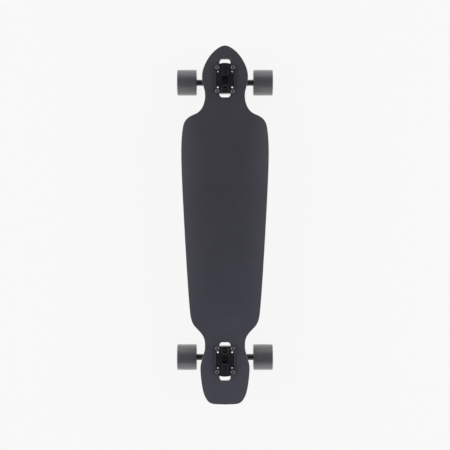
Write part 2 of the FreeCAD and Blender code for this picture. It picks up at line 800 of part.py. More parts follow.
def cut_hanger(body, centre, ring_depth, across):
    overrun = size("cut_overrun")
    seat_radius = size("bushing_radius") + size("drop_clearance")
    seat_depth = size("hanger_mid_radius")
    for name, near_face in (("outer_seat", HALF_WEB + seat_depth), ("inner_seat", -HALF_WEB)):
        primitive(body, "SubtractiveCylinder", name, {"Radius": seat_radius, "Height": seat_depth},
                  (ZERO, near_face, centre), across)
    primitive(body, "SubtractiveCylinder", "kingpin_bore",
              {"Radius": size("ring_bore"), "Height": ring_depth + overrun * 2},
              (ZERO, ring_depth / 2 + overrun, centre), across)
    length = size("hanger_width") + overrun * 2
    primitive(body, "SubtractiveCylinder", "axle_bore",
              {"Radius": size("axle_radius") + size("seat_clearance"), "Height": length},
              (-length / 2, ZERO, ZERO), Rotation(Y_AXIS, QUARTER_TURN))


def build_axle(truck):
    body = truck_body("axle", truck, (ZERO, AXLE_Z), 0.0)
    half = size("axle_length") / 2
    radius = size("axle_radius")
    chamfer = size("axle_chamfer")
    revolve(body, "rod", [
        (-half, ZERO), (-half, radius - chamfer), (-half + chamfer, radius),
        (half - chamfer, radius), (half, radius - chamfer), (half, ZERO)], axis="H_Axis")


# Wheels and bearings, laid out about the middle of the two bearings with +Z outwards along the axle
HALF_SPACER = size("spacer_length") / 2
BEARING_MIDDLE = HALF_SPACER + size("bearing_width") / 2
BEARING_END = HALF_SPACER + size("bearing_width")
WHEEL_X = size("hanger_width") / 2 + size("speed_washer_thickness") + BEARING_END
WHEELS = [
    (end + "_" + hand, Placement(Vector(side * WHEEL_X.number, place.Base.y, AXLE_Z.number),
                                 Rotation(Y_AXIS, side * QUARTER_TURN)))
    for end, place in TRUCKS for hand, side in (("left", -1), ("right", 1))]
BEARING_PLACES = [Placement(Vector(0, 0, side * BEARING_MIDDLE.number), Rotation()) for side in (-1, 1)]


def wheel_body(name, wheel):
    corner, place = wheel
    label = corner + "_" + name
    return keep(new_body(label, place), label)


def build_tyre(wheel):
    body = wheel_body("tyre", wheel)
    outside = size("wheel_radius")
    inside = size("core_radius") + size("seat_clearance")
    low = size("wheel_offset") - size("wheel_width") / 2
    high = size("wheel_offset") + size("wheel_width") / 2
    core_end = BEARING_END + size("core_overhang")
    lip = outside - size("dish_lip")
    root = inside + size("dish_step")
    depth = size("dish_depth")
    revolve(body, "tread", [
        (inside, -core_end), (root, low + depth), (lip, low), (outside, low),
        (outside, high), (lip, high), (root, high - depth), (inside, core_end)])

    def on_lip(edge):
        box = edge.BoundBox
        return box.ZLength < number("seat_clearance") and box.XLength > 2 * lip.number

    round_edges(body, "lips", size("lip_radius"), on_lip)


def build_core(wheel):
    """Hard core with a bearing seat in each side and a stop between them."""
    body = wheel_body("core", wheel)
    seat = size("bearing_radius")
    stop = size("core_stop_radius")
    outside = size("core_radius")
    end = BEARING_END + size("core_overhang")
    revolve(body, "hub", [
        (stop, -HALF_SPACER), (seat, -HALF_SPACER), (seat, -end), (outside, -end),
        (outside, end), (seat, end), (seat, HALF_SPACER), (stop, HALF_SPACER)])
    depth = size("core_pocket_depth")
    overrun = size("cut_overrun")
    middle = (seat + outside) / 2
    pockets = [
        primitive(body, "SubtractiveCylinder", "pocket_%s" % face,
                  {"Radius": size("core_pocket_radius"), "Height": depth + overrun},
                  (middle, ZERO, foot))
        for face, foot in (("outer", end - depth), ("inner", -end - overrun))]
    polar_pattern(body, pockets, "core_pocket_count")


def build_spacer(wheel):
    body = wheel_body("bearing_spacer", wheel)
    bore = size("bearing_bore_radius")
    outside = bore + size("spacer_wall")
    revolve(body, "tube", [
        (bore, -HALF_SPACER), (outside, -HALF_SPACER), (outside, HALF_SPACER), (bore, HALF_SPACER)])


def ring_master(name, inside, outside):
    """Bearing ring with the raceway of the balls turned into it."""
    body = new_body(name)
    half = size("bearing_width") / 2
    revolve(body, "ring", [(inside, -half), (outside, -half), (outside, half), (inside, half)])
    primitive(body, "SubtractiveTorus", "raceway",
              {"Radius1": size("ball_pitch_radius"),
               "Radius2": size("ball_radius") + size("running_clearance")})
    return body


def ball_master():
    body = new_body("ball_master")
    primitive(body, "AdditiveSphere", "ball", {"Radius": size("ball_radius")})
    return body


def cage_master():
    """Cage: a thin ring round the pitch circle with a pocket for each ball."""
    body = new_body("cage_master")
    pocket_radius = size("ball_radius") + size("running_clearance")
    half = pocket_radius + size("cage_side")
    inside = size("ball_pitch_radius") - size("cage_half_wall")
    outside = size("ball_pitch_radius") + size("cage_half_wall")
    revolve(body, "ring", [(inside, -half), (outside, -half), (outside, half), (inside, half)])
    pocket = primitive(body, "SubtractiveCylinder", "pocket",
                       {"Radius": pocket_radius, "Height": size("bearing_radius")},
                       turn=Rotation(Y_AXIS, QUARTER_TURN))
    polar_pattern(body, [pocket], "ball_count")
    return body


def shield_master():
    body = new_body("shield_master")
    inside = size("inner_land_radius") + size("running_clearance") * 2
    outside = size("outer_land_radius") - size("seat_clearance")
    end = size("bearing_width") / 2
    start = end - size("shield_thickness")
    revolve(body, "disc", [(inside, start), (outside, start), (outside, end), (inside, end)])
    return body


def build_bearings():
    outer = ring_master("outer_ring_master", size("outer_land_radius"),
                        size("bearing_radius") - size("seat_clearance"))
    inner = ring_master("inner_ring_master", size("bearing_bore_radius"), size("inner_land_radius"))
    ball = ball_master()
    cage = cage_master()
    shield = shield_master()
    count = int(number("ball_count"))
    pitch = Vector(number("ball_pitch_radius"), 0, 0)
    orbits = [Rotation(Z_AXIS, FULL_TURN * step / count) for step in range(count)]
    faces = (Rotation(), Rotation(X_AXIS, HALF_TURN))
    for corner, place in WHEELS:
        seats = [place.multiply(seat) for seat in BEARING_PLACES]
        group(corner + "_bearing_outer_rings", outer, seats)
        group(corner + "_bearing_inner_rings", inner, seats)
        group(corner + "_bearing_balls", ball, [
            seat.multiply(Placement(orbit.multVec(pitch), orbit)) for seat in seats for orbit in orbits])
        group(corner + "_bearing_cages", cage, seats)
        group(corner + "_bearing_shields", shield, [
            seat.multiply(Placement(Vector(), face)) for seat in seats for face in faces])


# Fasteners
def axle_nut_master():
    """Lock nut: a hexagon with a round collar on its outer end."""
    body = new_body("axle_nut_master")
    hex_prism(body, "AdditivePrism", "hexagon", size("axle_nut_flats"),
              size("axle_nut_height") - size("axle_nut_collar"))
    primitive(body, "AdditiveCylinder", "collar",
              {"Radius": size("axle_nut_flats") / 2 - size("axle_chamfer"),
               "Height": size("axle_nut_height")})
    overrun = size("cut_overrun")
    primitive(body, "SubtractiveCylinder", "thread",
              {"Radius": size("axle_radius") + size("seat_clearance"),
               "Height": size("axle_nut_height") + overrun * 2}, (ZERO, ZERO, -overrun))
    return body


def speed_washer_master():
    body = new_body("speed_washer_master")
    bore = size("bearing_bore_radius")
    outside = size("speed_washer_radius")
    thick = size("speed_washer_thickness")
    revolve(body, "washer", [(bore, ZERO), (outside, ZERO), (outside, thick), (bore, thick)])
    return body


def build_axle_hardware():
    nut = axle_nut_master()
    washer = speed_washer_master()
    inner = number("hanger_width") / 2
    outer = WHEEL_X.number + BEARING_END.number
    beyond = outer + number("speed_washer_thickness")
    for end, place in TRUCKS:
        def along_axle(side, reach):
            return Placement(Vector(side * reach, place.Base.y, AXLE_Z.number),
                             Rotation(Y_AXIS, side * QUARTER_TURN))

        group(end + "_axle_nuts", nut, [along_axle(side, beyond) for side in (-1, 1)])
        group(end + "_speed_washers", washer, [
            along_axle(side, reach) for side in (-1, 1) for reach in (inner, outer)])


def deck_bolt_master():
    """Button-head bolt, its head standing on Z zero, with a hexagon socket."""
    body = new_body("deck_bolt_master")
    length = PLATE_TOP - DECK_BOTTOM + size("bolt_nut_height") + size("bolt_tail")
    head = size("bolt_head_height")
    radius = size("bolt_head_radius")
    shank = size("bolt_radius")
    revolve(body, "bolt", [
        (ZERO, -length), (shank, -length), (shank, ZERO), (radius, ZERO), (radius, head), (ZERO, head)])

    def on_crown(edge):
        box = edge.BoundBox
        return box.ZMin > head.number / 2 and box.XLength > radius.number

    round_edges(body, "crown", size("bolt_head_round"), on_crown)
    hex_prism(body, "SubtractivePrism", "socket", size("bolt_socket_flats"),
              size("bolt_socket_depth") + size("cut_overrun"),
              (ZERO, ZERO, head - size("bolt_socket_depth")))
    return body


def deck_nut_master():
    body = new_body("deck_nut_master")
    hex_prism(body, "AdditivePrism", "hexagon", size("bolt_nut_flats"), size("bolt_nut_height"))
    overrun = size("cut_overrun")
    primitive(body, "SubtractiveCylinder", "thread",
              {"Radius": size("bolt_radius") + size("seat_clearance"),
               "Height": size("bolt_nut_height") + overrun * 2}, (ZERO, ZERO, -overrun))
    return body


def build_deck_fasteners():
    def bolt_places(height):
        corners = [Vector(x * BOLT_X.number, y * BOLT_Y.number, height) for x, y in CORNER_SIGNS]
        return [place.multiply(Placement(corner, Rotation()))
                for _, place in TRUCKS for corner in corners]

    group("deck_bolts", deck_bolt_master(), bolt_places(PLATE_TOP.number))
    group("deck_nuts", deck_nut_master(), bolt_places(DECK_BOTTOM.number - number("bolt_nut_height")))


def build_truck(truck):
    build_baseplate(truck)
    build_pivot_cup(truck)
    build_kingpin(truck)
    build_washer("boardside_washer", truck, BOARDSIDE_SEAT, towards=1)
    build_bushing("boardside_bushing", truck, -HALF_WEB - size("boardside_bushing_height"),
                  size("boardside_bushing_height"))
    build_hanger(truck)
    build_bushing("roadside_bushing", truck, HALF_WEB, size("roadside_bushing_height"))
    build_washer("roadside_washer", truck, ROADSIDE_SEAT, towards=-1)
    build_kingpin_nut(truck)
    build_axle(truck)


def build_wheel(wheel):
    build_tyre(wheel)
    build_core(wheel)
    build_spacer(wheel)


build_deck()
build_grip_tape()
for one_truck in TRUCKS:
    build_truck(one_truck)
for one_wheel in WHEELS:
    build_wheel(one_wheel)
build_bearings()
build_axle_hardware()
build_deck_fasteners()
doc.recompute()

failed = [item.Label for item in doc.Objects if "Invalid" in item.State or "Error" in item.State]
if failed:
    raise RuntimeError("not built: " + ", ".join(failed))
for item in sub_parts:
    if item.Shape.isNull() or not item.Shape.isValid() or not item.Shape.Solids:
        raise RuntimeError("no sound solid: " + item.Label)

os.makedirs("parts", exist_ok=True)
for item in sub_parts:
    item.Shape.exportStep(os.path.join("parts", item.Label + ".step"))
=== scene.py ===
import json
import math

import bpy
from mathutils import Matrix, Vector


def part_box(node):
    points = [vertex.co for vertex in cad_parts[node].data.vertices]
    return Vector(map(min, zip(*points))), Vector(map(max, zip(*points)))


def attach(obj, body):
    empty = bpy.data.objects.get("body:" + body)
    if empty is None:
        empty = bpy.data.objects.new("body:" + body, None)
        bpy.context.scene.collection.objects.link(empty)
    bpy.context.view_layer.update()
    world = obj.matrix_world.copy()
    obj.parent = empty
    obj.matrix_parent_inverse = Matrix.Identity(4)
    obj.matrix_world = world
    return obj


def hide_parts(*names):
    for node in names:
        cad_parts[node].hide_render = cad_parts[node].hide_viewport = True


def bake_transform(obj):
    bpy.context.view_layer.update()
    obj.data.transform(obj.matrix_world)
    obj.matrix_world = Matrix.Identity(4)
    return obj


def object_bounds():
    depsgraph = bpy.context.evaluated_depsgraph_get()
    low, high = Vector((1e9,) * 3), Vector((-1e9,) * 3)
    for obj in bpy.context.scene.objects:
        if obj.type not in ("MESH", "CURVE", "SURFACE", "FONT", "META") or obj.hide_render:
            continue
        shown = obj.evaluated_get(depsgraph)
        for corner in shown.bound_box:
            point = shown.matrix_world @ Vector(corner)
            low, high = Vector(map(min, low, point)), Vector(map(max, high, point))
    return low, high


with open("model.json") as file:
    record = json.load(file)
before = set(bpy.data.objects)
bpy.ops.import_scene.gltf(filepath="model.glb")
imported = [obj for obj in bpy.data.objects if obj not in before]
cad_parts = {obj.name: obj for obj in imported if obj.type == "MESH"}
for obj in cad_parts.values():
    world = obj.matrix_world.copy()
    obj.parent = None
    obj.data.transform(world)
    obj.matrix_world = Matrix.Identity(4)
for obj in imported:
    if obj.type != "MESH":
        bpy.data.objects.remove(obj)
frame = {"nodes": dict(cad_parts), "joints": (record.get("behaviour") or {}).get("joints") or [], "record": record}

cad_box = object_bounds()

MM = 0.001
ENDS = ("front", "rear")
SIDES = (-1, 1)
ACROSS = Vector((1, 0, 0))
UP = Vector((0, 0, 1))
JOINTS = {joint["name"]: joint for joint in frame["joints"]}
TRUCK_Y = {end: JOINTS[end + "_left_wheel_spin"]["pos_m"][1] for end in ENDS}

# Deck: its box is read from the frame, and the rails lift between the trucks
deck_low, deck_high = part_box("deck")
grip_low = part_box("grip_tape")[0]
DECK_HALF_LENGTH = (deck_high.y - deck_low.y) / 2
DECK_HALF_WIDTH = (deck_high.x - deck_low.x) / 2
DECK_THICKNESS = 11.5 * MM
DECK_FLAT_TOP = deck_low.z + DECK_THICKNESS
PLY_COUNT = 8
PLY_SEAM_SHARE = 0.16
PLY_EDGE_SLOPE = (0.80, 0.93)
CONCAVE_RISE = 6 * MM
CONCAVE_BLEND = 110 * MM
CONCAVE_END_SHARE = 0.47
FILED_RIM = 1.5 * MM
FILED_SHARE = 0.9

# Camera: straight above the board, the field fitted to the deck's top face
CAMERA_ABOVE_DECK = 2.6
FIELD_AT_DECK = 1.209
SENSOR = 36.0

# Kingpin stack, measured from the middle of the hanger's ring along the kingpin, roadside positive
HALF_WEB = 4.5 * MM
BUSHING_RADIUS = 13.0 * MM
BUSHING_BORE = 5.0 * MM
BUSHING_CHAMFER = 1.0 * MM
BUSHING_WAIST = 0.8 * MM
BOARDSIDE_HEIGHT = 15.0 * MM
ROADSIDE_HEIGHT = 14.0 * MM
KINGPIN_RADIUS = 4.76 * MM
KINGPIN_NUT_END = 29.0 * MM
KINGPIN_POINT = 2.6 * MM
KINGPIN_PITCH = 1.06 * MM

# Mouth of the kingpin well in the top of each baseplate
PLATE_TOP = 100.0 * MM
WELL_CENTRE = 27.0 * MM
WELL_RADIUS = 8.3 * MM
WELL_RIM_WIDTH = 2.0 * MM
WELL_RIM_HEIGHT = 0.8 * MM

# Deck bolts, axles and the details of their nuts
nuts_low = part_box("deck_nuts")[0]
bolts_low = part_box("deck_bolts")[0]
BOLT_HALF_ACROSS = 20.65 * MM
BOLT_HALF_ALONG = 31.75 * MM
BOLT_RADIUS = 2.4 * MM
BOLT_PITCH = 0.8 * MM
AXLE_RADIUS = 3.97 * MM
LOCK_RING_WIDTH = 1.1 * MM
LOCK_RING_DEPTH = 0.4 * MM
LOCK_RING_RISE = 0.25 * MM
THREAD_ROOT_SHARE = 0.10
THREAD_CREST_SHARE = 0.15
SHARP_ANGLE = math.radians(32)

# Where the grip is lighter: a painted sheen rising to the rails by a power, and a lighter tone over a share of
# each half's length
RAIL_SHEEN_POWER = 3.0
PALE_END_FROM = 0.2
PALE_END_SHARE = 0.45

# Colours of the grip, the wood and the kingpins
GRIP_NOSE = (0.0385, 0.0365, 0.0450)
GRIP_TAIL = (0.0600, 0.0610, 0.0860)
# Lighter grip colour: a painted sheen at the rails, and a lighter tone at the ends
GRIP_PALE_AND_SHEEN = (0.086, 0.0835, 0.106)
GRIP_SPARKLE = (0.130, 0.127, 0.142)
WOOD_DARK = (0.43, 0.30, 0.17)
WOOD_MIDDLE = (0.60, 0.45, 0.28)
WOOD_PALE = (0.72, 0.58, 0.40)
PLY_ALONG = (0.60, 0.46, 0.30)
PLY_CROSS = (0.42, 0.29, 0.17)
PLY_GLUE = (0.20, 0.12, 0.06)
FILED_GREY = (0.085, 0.080, 0.082)
# Near-white steel: a painted highlight on the face of each kingpin's head
PAINTED_HIGHLIGHT_STEEL = (0.92, 0.92, 0.93)
GREY_OXIDE = (0.20, 0.20, 0.21)
BLACK = (0.0, 0.0, 0.0)
WHITE = (1.0, 1.0, 1.0)

# Edge of the painted highlight on a kingpin's head, as distances from its axis
HIGHLIGHT_FACE_SPAN = (5.8 * MM, 6.8 * MM)

# Finish that several materials share, and the span that most of a noise lies in
SHEEN_ROUGHNESS = 0.40
COAT_ROUGHNESS = 0.50
NOISE_SPAN = (0.3, 0.7)

# Room: the white that the camera sees, and the walls and ceiling that light the board.
# Heights in the room are the sine of the elevation.
PHOTO_WHITE = 0.947
WALL_LIGHT = 2.3
CEILING_LIGHT = 0.10
CEILING_FROM = 0.75
GROUND_FROM = -0.02
FLOOR_SHADE = 0.10
FLOOR_SPECK = 0.03
FLOOR_CLEAR = 0.921
FLOOR_BOUNCE = 0.6
FLOOR_ALBEDO = 0.8
FLOOR_HALF = 6.0
SOFTBOX_ASIDE = 2.4
SOFTBOX_HEIGHT = 1.5
SOFTBOX_SIZE = (1.2, 2.6)
SOFTBOX_WATTS = 16.0


class Graph:
    """Small helper that adds nodes to one node tree and links them."""

    def __init__(self, owner, coordinates="Object"):
        owner.use_nodes = True
        self.owner = owner
        self.tree = owner.node_tree
        self.shader = self.tree.nodes.get("Principled BSDF")
        self.coordinates = self.tree.nodes.new("ShaderNodeTexCoord").outputs[coordinates]

    def add(self, kind, inputs=None, **settings):
        node = self.tree.nodes.new("ShaderNode" + kind)
        for key, value in settings.items():
            setattr(node, key, value)
        for key, value in (inputs or {}).items():
            self.feed(node.inputs[key], value)
        return node

    def feed(self, socket, value):
        if isinstance(value, bpy.types.NodeSocket):
            self.tree.links.new(value, socket)
        elif socket.type == "RGBA":
            socket.default_value = (*value, 1.0)
        else:
            socket.default_value = value

    def set(self, **sockets):
        for name, value in sockets.items():
            self.feed(self.shader.inputs[name.replace("_", " ")], value)

    def connect(self, shader, output):
        self.tree.links.new(shader.outputs[0], self.tree.nodes[output].inputs["Surface"])

    def math(self, operation, first, second=0.0):
        return self.add("Math", {0: first, 1: second}, operation=operation).outputs[0]

    def scaled(self, value, share):
        return self.math("MULTIPLY", value, share)

    def noise(self, scale, detail=4.0, roughness=0.55, vector=None):
        inputs = {"Vector": vector or self.coordinates, "Scale": scale, "Detail": detail,
                  "Roughness": roughness}
        return self.add("TexNoise", inputs).outputs["Fac"]

    def streaks(self, scales, detail, roughness):
        """Noise drawn out along an axis: one scale for each of x, y and z."""
        mapping = self.add("Mapping", {"Vector": self.coordinates, "Scale": scales})
        return self.noise(1.0, detail, roughness, mapping.outputs["Vector"])

    def ramp(self, value, stops):
        node = self.add("ValToRGB", {"Fac": value})
        elements = node.color_ramp.elements
        while len(elements) < len(stops):
            elements.new(0.5)
        for element, (place, colour) in zip(elements, stops):
            element.position = place
            element.color = (*colour, 1.0)
        return node.outputs["Color"]

    def remap(self, value, source, target, smooth=False):
        inputs = {"Value": value, "From Min": source[0], "From Max": source[1],
                  "To Min": target[0], "To Max": target[1]}
        kind = "SMOOTHSTEP" if smooth else "LINEAR"
        return self.add("MapRange", inputs, interpolation_type=kind).outputs["Result"]

    def around(self, noise, middle, below, above):
        """Noise turned into a value that varies about a middle one."""
        return self.remap(noise, NOISE_SPAN, (middle - below, middle + above))

    def mix(self, factor, first, second, blend="MIX"):
        node = self.add("Mix", data_type="RGBA", blend_type=blend)
        for key, value in (("Factor", factor), (6, first), (7, second)):
            self.feed(node.inputs[key], value)
        return node.outputs[2]

    def grey(self, value):
        return self.add("CombineColor", {0: value, 1: value, 2: value}).outputs[0]

    def split(self, vector):
        node = self.add("SeparateXYZ", {"Vector": vector})
        return node.outputs["X"], node.outputs["Y"], node.outputs["Z"]

    def bump(self, height, strength, distance):
        node = self.add("Bump", {"Height": height, "Strength": strength, "Distance": distance})
        self.set(Normal=node.outputs["Normal"])


def material_graph(name):
    return Graph(bpy.data.materials.new(name))


def shaded(colour, gain, lift=0.0):
    return tuple(channel * gain + lift for channel in colour)


def grip_material():
    """Charcoal abrasive: coarse grains, faint mottling, bluer to the tail, lighter towards the ends, and a painted
    sheen rising to the rails.
    """
    g = material_graph("grip_tape")
    grains = g.add("TexVoronoi", {"Vector": g.coordinates, "Scale": 1700.0}, feature="F1")
    fine = g.noise(scale=3200.0, detail=2.0)
    mottle = g.noise(scale=9.0, detail=5.0)
    blotch = g.noise(scale=60.0, detail=3.0)
    x, y, _ = g.split(g.coordinates)
    # Painted sheen: lighter colour rising towards the rails, where the concave's raised edges would catch light
    rails = g.math("POWER", g.math("DIVIDE", g.math("ABSOLUTE", x), DECK_HALF_WIDTH), RAIL_SHEEN_POWER)
    end_span = (PALE_END_FROM * DECK_HALF_LENGTH, DECK_HALF_LENGTH)
    ends = g.remap(g.math("ABSOLUTE", y), end_span, (0.0, PALE_END_SHARE), smooth=True)
    along = g.remap(y, (DECK_HALF_LENGTH, -DECK_HALF_LENGTH), (0.0, 1.0))
    base = g.mix(along, GRIP_NOSE, GRIP_TAIL)
    # Lighter colour mixed in: a painted sheen at the rails, and a lighter tone at the ends
    paler_and_sheen = g.mix(g.math("MAXIMUM", rails, ends), base, GRIP_PALE_AND_SHEEN)
    tone = g.remap(g.math("ADD", mottle, g.scaled(blotch, 0.35)), (0.35, 1.0), (0.9, 1.12))
    toned = g.mix(1.0, paler_and_sheen, g.grey(tone), blend="MULTIPLY")
    sparkle = g.remap(grains.outputs["Color"], (0.80, 1.0), (0.0, 0.8))
    g.set(Base_Color=g.mix(sparkle, toned, GRIP_SPARKLE),
          Roughness=g.remap(fine, NOISE_SPAN, (0.72, 0.95)), Specular_IOR_Level=0.35)
    peaks = g.math("SUBTRACT", 1.0, grains.outputs["Distance"])
    g.bump(g.math("ADD", peaks, g.scaled(fine, 0.6)), strength=0.85, distance=0.35 * MM)
    return g.owner


def maple_material():
    """Lacquered maple: long grain on the faces, plies on the edges, and a top rim greyed by the file
    that trimmed the grip."""
    g = material_graph("maple")
    x, y, z = g.split(g.coordinates)
    across = g.math("POWER", g.math("DIVIDE", x, DECK_HALF_WIDTH), 2.0)
    concave_end = CONCAVE_END_SHARE * DECK_HALF_LENGTH
    fade_span = (concave_end, concave_end + CONCAVE_BLEND)
    fade = g.remap(g.math("ABSOLUTE", y), fade_span, (1.0, 0.0), smooth=True)
    level = g.math("SUBTRACT", z, g.scaled(g.math("MULTIPLY", across, fade), CONCAVE_RISE))
    ply = g.remap(level, (deck_low.z, DECK_FLAT_TOP), (0.0, PLY_COUNT))
    seam = g.remap(g.math("PINGPONG", ply, 1.0), (0.0, PLY_SEAM_SHARE), (1.0, 0.0))
    crossed = g.math("GREATER_THAN", g.math("MODULO", ply, 2.0), 1.0)
    fibre = g.streaks((420.0, 9.0, 420.0), detail=8.0, roughness=0.6)
    figure = g.streaks((26.0, 2.2, 26.0), detail=4.0, roughness=0.5)
    wood = g.ramp(g.math("ADD", g.scaled(fibre, 0.55), g.scaled(figure, 0.45)), [
        (0.30, WOOD_DARK), (0.50, WOOD_MIDDLE), (0.70, WOOD_PALE)])
    plies = g.mix(g.scaled(seam, 0.7), g.mix(crossed, PLY_ALONG, PLY_CROSS), PLY_GLUE)
    _, _, up = g.split(g.add("NewGeometry").outputs["Normal"])
    side = g.remap(g.math("ABSOLUTE", up), PLY_EDGE_SLOPE, (1.0, 0.0))
    filed = g.remap(level, (DECK_FLAT_TOP - FILED_RIM, DECK_FLAT_TOP), (0.0, FILED_SHARE), smooth=True)
    g.set(Base_Color=g.mix(filed, g.mix(side, wood, plies), FILED_GREY),
          Roughness=g.remap(fibre, NOISE_SPAN, (0.34, 0.50)), Coat_Weight=0.35, Coat_Roughness=0.18)
    g.bump(fibre, strength=0.12, distance=0.15 * MM)
    return g.owner


def painted_metal(name, colour, roughness, pebble_scale, specular):
    """Satin paint over a casting: fine pebble in the film, slow changes of gloss, small scuffs."""
    g = material_graph(name)
    pebble = g.noise(scale=pebble_scale, detail=3.0)
    cloud = g.noise(scale=35.0, detail=4.0)
    scuff = g.ramp(g.streaks((300.0, 900.0, 260.0), detail=6.0, roughness=0.7), [
        (0.62, BLACK), (0.72, WHITE)])
    worn = shaded(colour, gain=2.2, lift=0.004)
    g.set(Base_Color=g.mix(g.scaled(scuff, 0.35), colour, worn),
          Roughness=g.around(cloud, roughness, below=0.06, above=0.08), Specular_IOR_Level=specular)
    g.bump(pebble, strength=0.10, distance=0.12 * MM)
    return g.owner


def turned_steel(name, colour, roughness):
    """Plated or ground steel: fine tool marks, and clouds of duller plating."""
    g = material_graph(name)
    marks = g.streaks((1400.0, 160.0, 160.0), detail=3.0, roughness=0.6)
    cloud = g.remap(g.noise(scale=120.0, detail=4.0), (0.35, 0.70), (0.0, 0.8))
    g.set(Base_Color=g.mix(cloud, colour, shaded(colour, gain=0.72)), Metallic=1.0,
          Roughness=g.around(marks, roughness, below=0.05, above=0.10))
    g.bump(marks, strength=0.08, distance=0.05 * MM)
    return g.owner


def urethane(name, colour, roughness, grain_scale, specular=0.5, sheen=0.0, coat=0.0):
    """Cast urethane or moulded plastic: satin skin with faint clouds and tiny pits. Sheen and coat give a
    chalky bloom at low angles."""
    g = material_graph(name)
    skin = g.noise(scale=grain_scale, detail=4.0)
    cloud = g.remap(g.noise(scale=45.0, detail=5.0), (0.35, 0.75), (0.0, 0.6))
    g.set(Base_Color=g.mix(cloud, colour, shaded(colour, gain=1.35, lift=0.004)),
          Roughness=g.around(skin, roughness, below=0.05, above=0.08),
          Specular_IOR_Level=specular, Sheen_Weight=sheen, Sheen_Roughness=SHEEN_ROUGHNESS,
          Coat_Weight=coat, Coat_Roughness=COAT_ROUGHNESS)
    g.bump(skin, strength=0.10, distance=0.08 * MM)
    return g.owner


def kingpin_axis(end):
    """Middle of the hanger's ring, and the kingpin's direction down towards the road."""
    joint = JOINTS[end + "_truck_lean"]
    down = Vector(joint["axis"]).cross(ACROSS)
    return Vector(joint["pos_m"]), down if down.z < 0 else -down


def kingpin_material(end):
    """Kingpin: a painted highlight of near-white steel on the face of the head and on the shank, grey oxide on the
    head's flanks.
    """
    middle, down = kingpin_axis(end)
    g = material_graph(end + "_kingpin_painted_highlight_steel")
    offset = g.add("VectorMath", {0: g.coordinates, 1: middle}, operation="SUBTRACT")
    aside = g.add("VectorMath", {0: offset.outputs["Vector"], 1: down}, operation="CROSS_PRODUCT")
    radius = g.add("VectorMath", {0: aside.outputs["Vector"]}, operation="LENGTH").outputs["Value"]
    cloud = g.noise(scale=400.0, detail=4.0)
    # Painted highlight: near-white steel on the head's face and the shank, inside the span from the axis
    painted_highlight = g.mix(g.remap(cloud, (0.35, 0.70), (0.0, 0.6)), PAINTED_HIGHLIGHT_STEEL, shaded(PAINTED_HIGHLIGHT_STEEL, gain=0.85))
    flank = g.remap(radius, HIGHLIGHT_FACE_SPAN, (0.0, 1.0), smooth=True)
    g.set(Base_Color=g.mix(flank, painted_highlight, GREY_OXIDE), Roughness=g.remap(cloud, NOISE_SPAN, (0.45, 0.60)))
    g.bump(g.noise(scale=1500.0, detail=3.0), strength=0.10, distance=0.12 * MM)
    return g.owner


MATERIALS = {
    "maple": maple_material(),
    "grip": grip_material(),
    "truck_paint": painted_metal("truck_paint", (0.0060, 0.0054, 0.0118), roughness=0.22,
                                 pebble_scale=700.0, specular=1.0),
    "black_steel": turned_steel("black_steel", (0.34, 0.34, 0.35), roughness=0.30),
    "zinc_steel": turned_steel("zinc_steel", (0.58, 0.58, 0.60), roughness=0.34),
    "bright_steel": turned_steel("bright_steel", (0.66, 0.66, 0.67), roughness=0.22),
    "shield_steel": turned_steel("shield_steel", (0.46, 0.46, 0.47), roughness=0.40),
    "wheel_urethane": urethane("wheel_urethane", (0.0510, 0.0488, 0.0620), roughness=0.38,
                               grain_scale=900.0, specular=1.0, sheen=0.8, coat=1.0),
    "core_plastic": urethane("core_plastic", (0.020, 0.020, 0.022), roughness=0.48, grain_scale=1600.0),
    "cage_plastic": urethane("cage_plastic", (0.060, 0.060, 0.060), roughness=0.55, grain_scale=1800.0),
    "bushing_urethane": urethane("bushing_urethane", (0.024, 0.024, 0.026), roughness=0.36,
                                 grain_scale=700.0),
    "pivot_urethane": urethane("pivot_urethane", (0.020, 0.020, 0.021), roughness=0.45, grain_scale=700.0),
}


def dress_nodes():
    """Give each CAD node its slot's material, and the kingpins a material of their own with a painted highlight on
    the head.
    """
    slots = {part["node"]: part["material_slot"] for part in frame["record"]["subparts"]}
    kingpins = {end + "_kingpin": kingpin_material(end) for end in ENDS}
    for name, node in frame["nodes"].items():
        node.data.materials.clear()
        node.data.materials.append(kingpins.get(name) or MATERIALS[slots[name]])
        for face in node.data.polygons:
            face.material_index = 0


dress_nodes()


# Pieces that the solids leave plain. A shape is a list of points and a list of faces.
def along_axis(place, axis):
    """Placement at a point, with z turned to an axis."""
    return Matrix.Translation(place) @ UP.rotation_difference(axis).to_matrix().to_4x4()


def turned(place, axis, profile, segments=64):
    """Closed ring turned about an axis: profile gives (radius, distance along the axis) all the way round."""
    at = along_axis(place, axis)
    points = [at @ Vector((radius * math.cos(angle), radius * math.sin(angle), along))
              for radius, along in profile
              for angle in (2 * math.pi * step / segments for step in range(segments))]
    faces = []
    for row in range(len(profile)):
        here = row * segments
        after = (row + 1) % len(profile) * segments
        for step in range(segments):
            beside = (step + 1) % segments
            faces.append((here + step, here + beside, after + beside, after + step))
    return points, faces


def thread(place, axis, radius, pitch, length, steps=24):
    """Screw thread: a ridge of triangular section wound round a rod."""
    at = along_axis(place, axis)
    root = radius - pitch * THREAD_ROOT_SHARE
    crest = radius + pitch * THREAD_CREST_SHARE
    count = int(steps * (length - pitch) / pitch)
    points = []
    for step in range(count + 1):
        angle = 2 * math.pi * step / steps
        height = pitch / 2 + pitch * step / steps
        for reach, shift in ((root, -pitch / 2), (crest, 0), (root, pitch / 2)):
            points.append(at @ Vector((reach * math.cos(angle), reach * math.sin(angle), height + shift)))
    faces = [(0, 1, 2), (count * 3 + 2, count * 3 + 1, count * 3)]
    for step in range(count):
        low, high = step * 3, step * 3 + 3
        faces += [(low, high, high + 1, low + 1), (low + 1, high + 1, high + 2, low + 2)]
    return points, faces


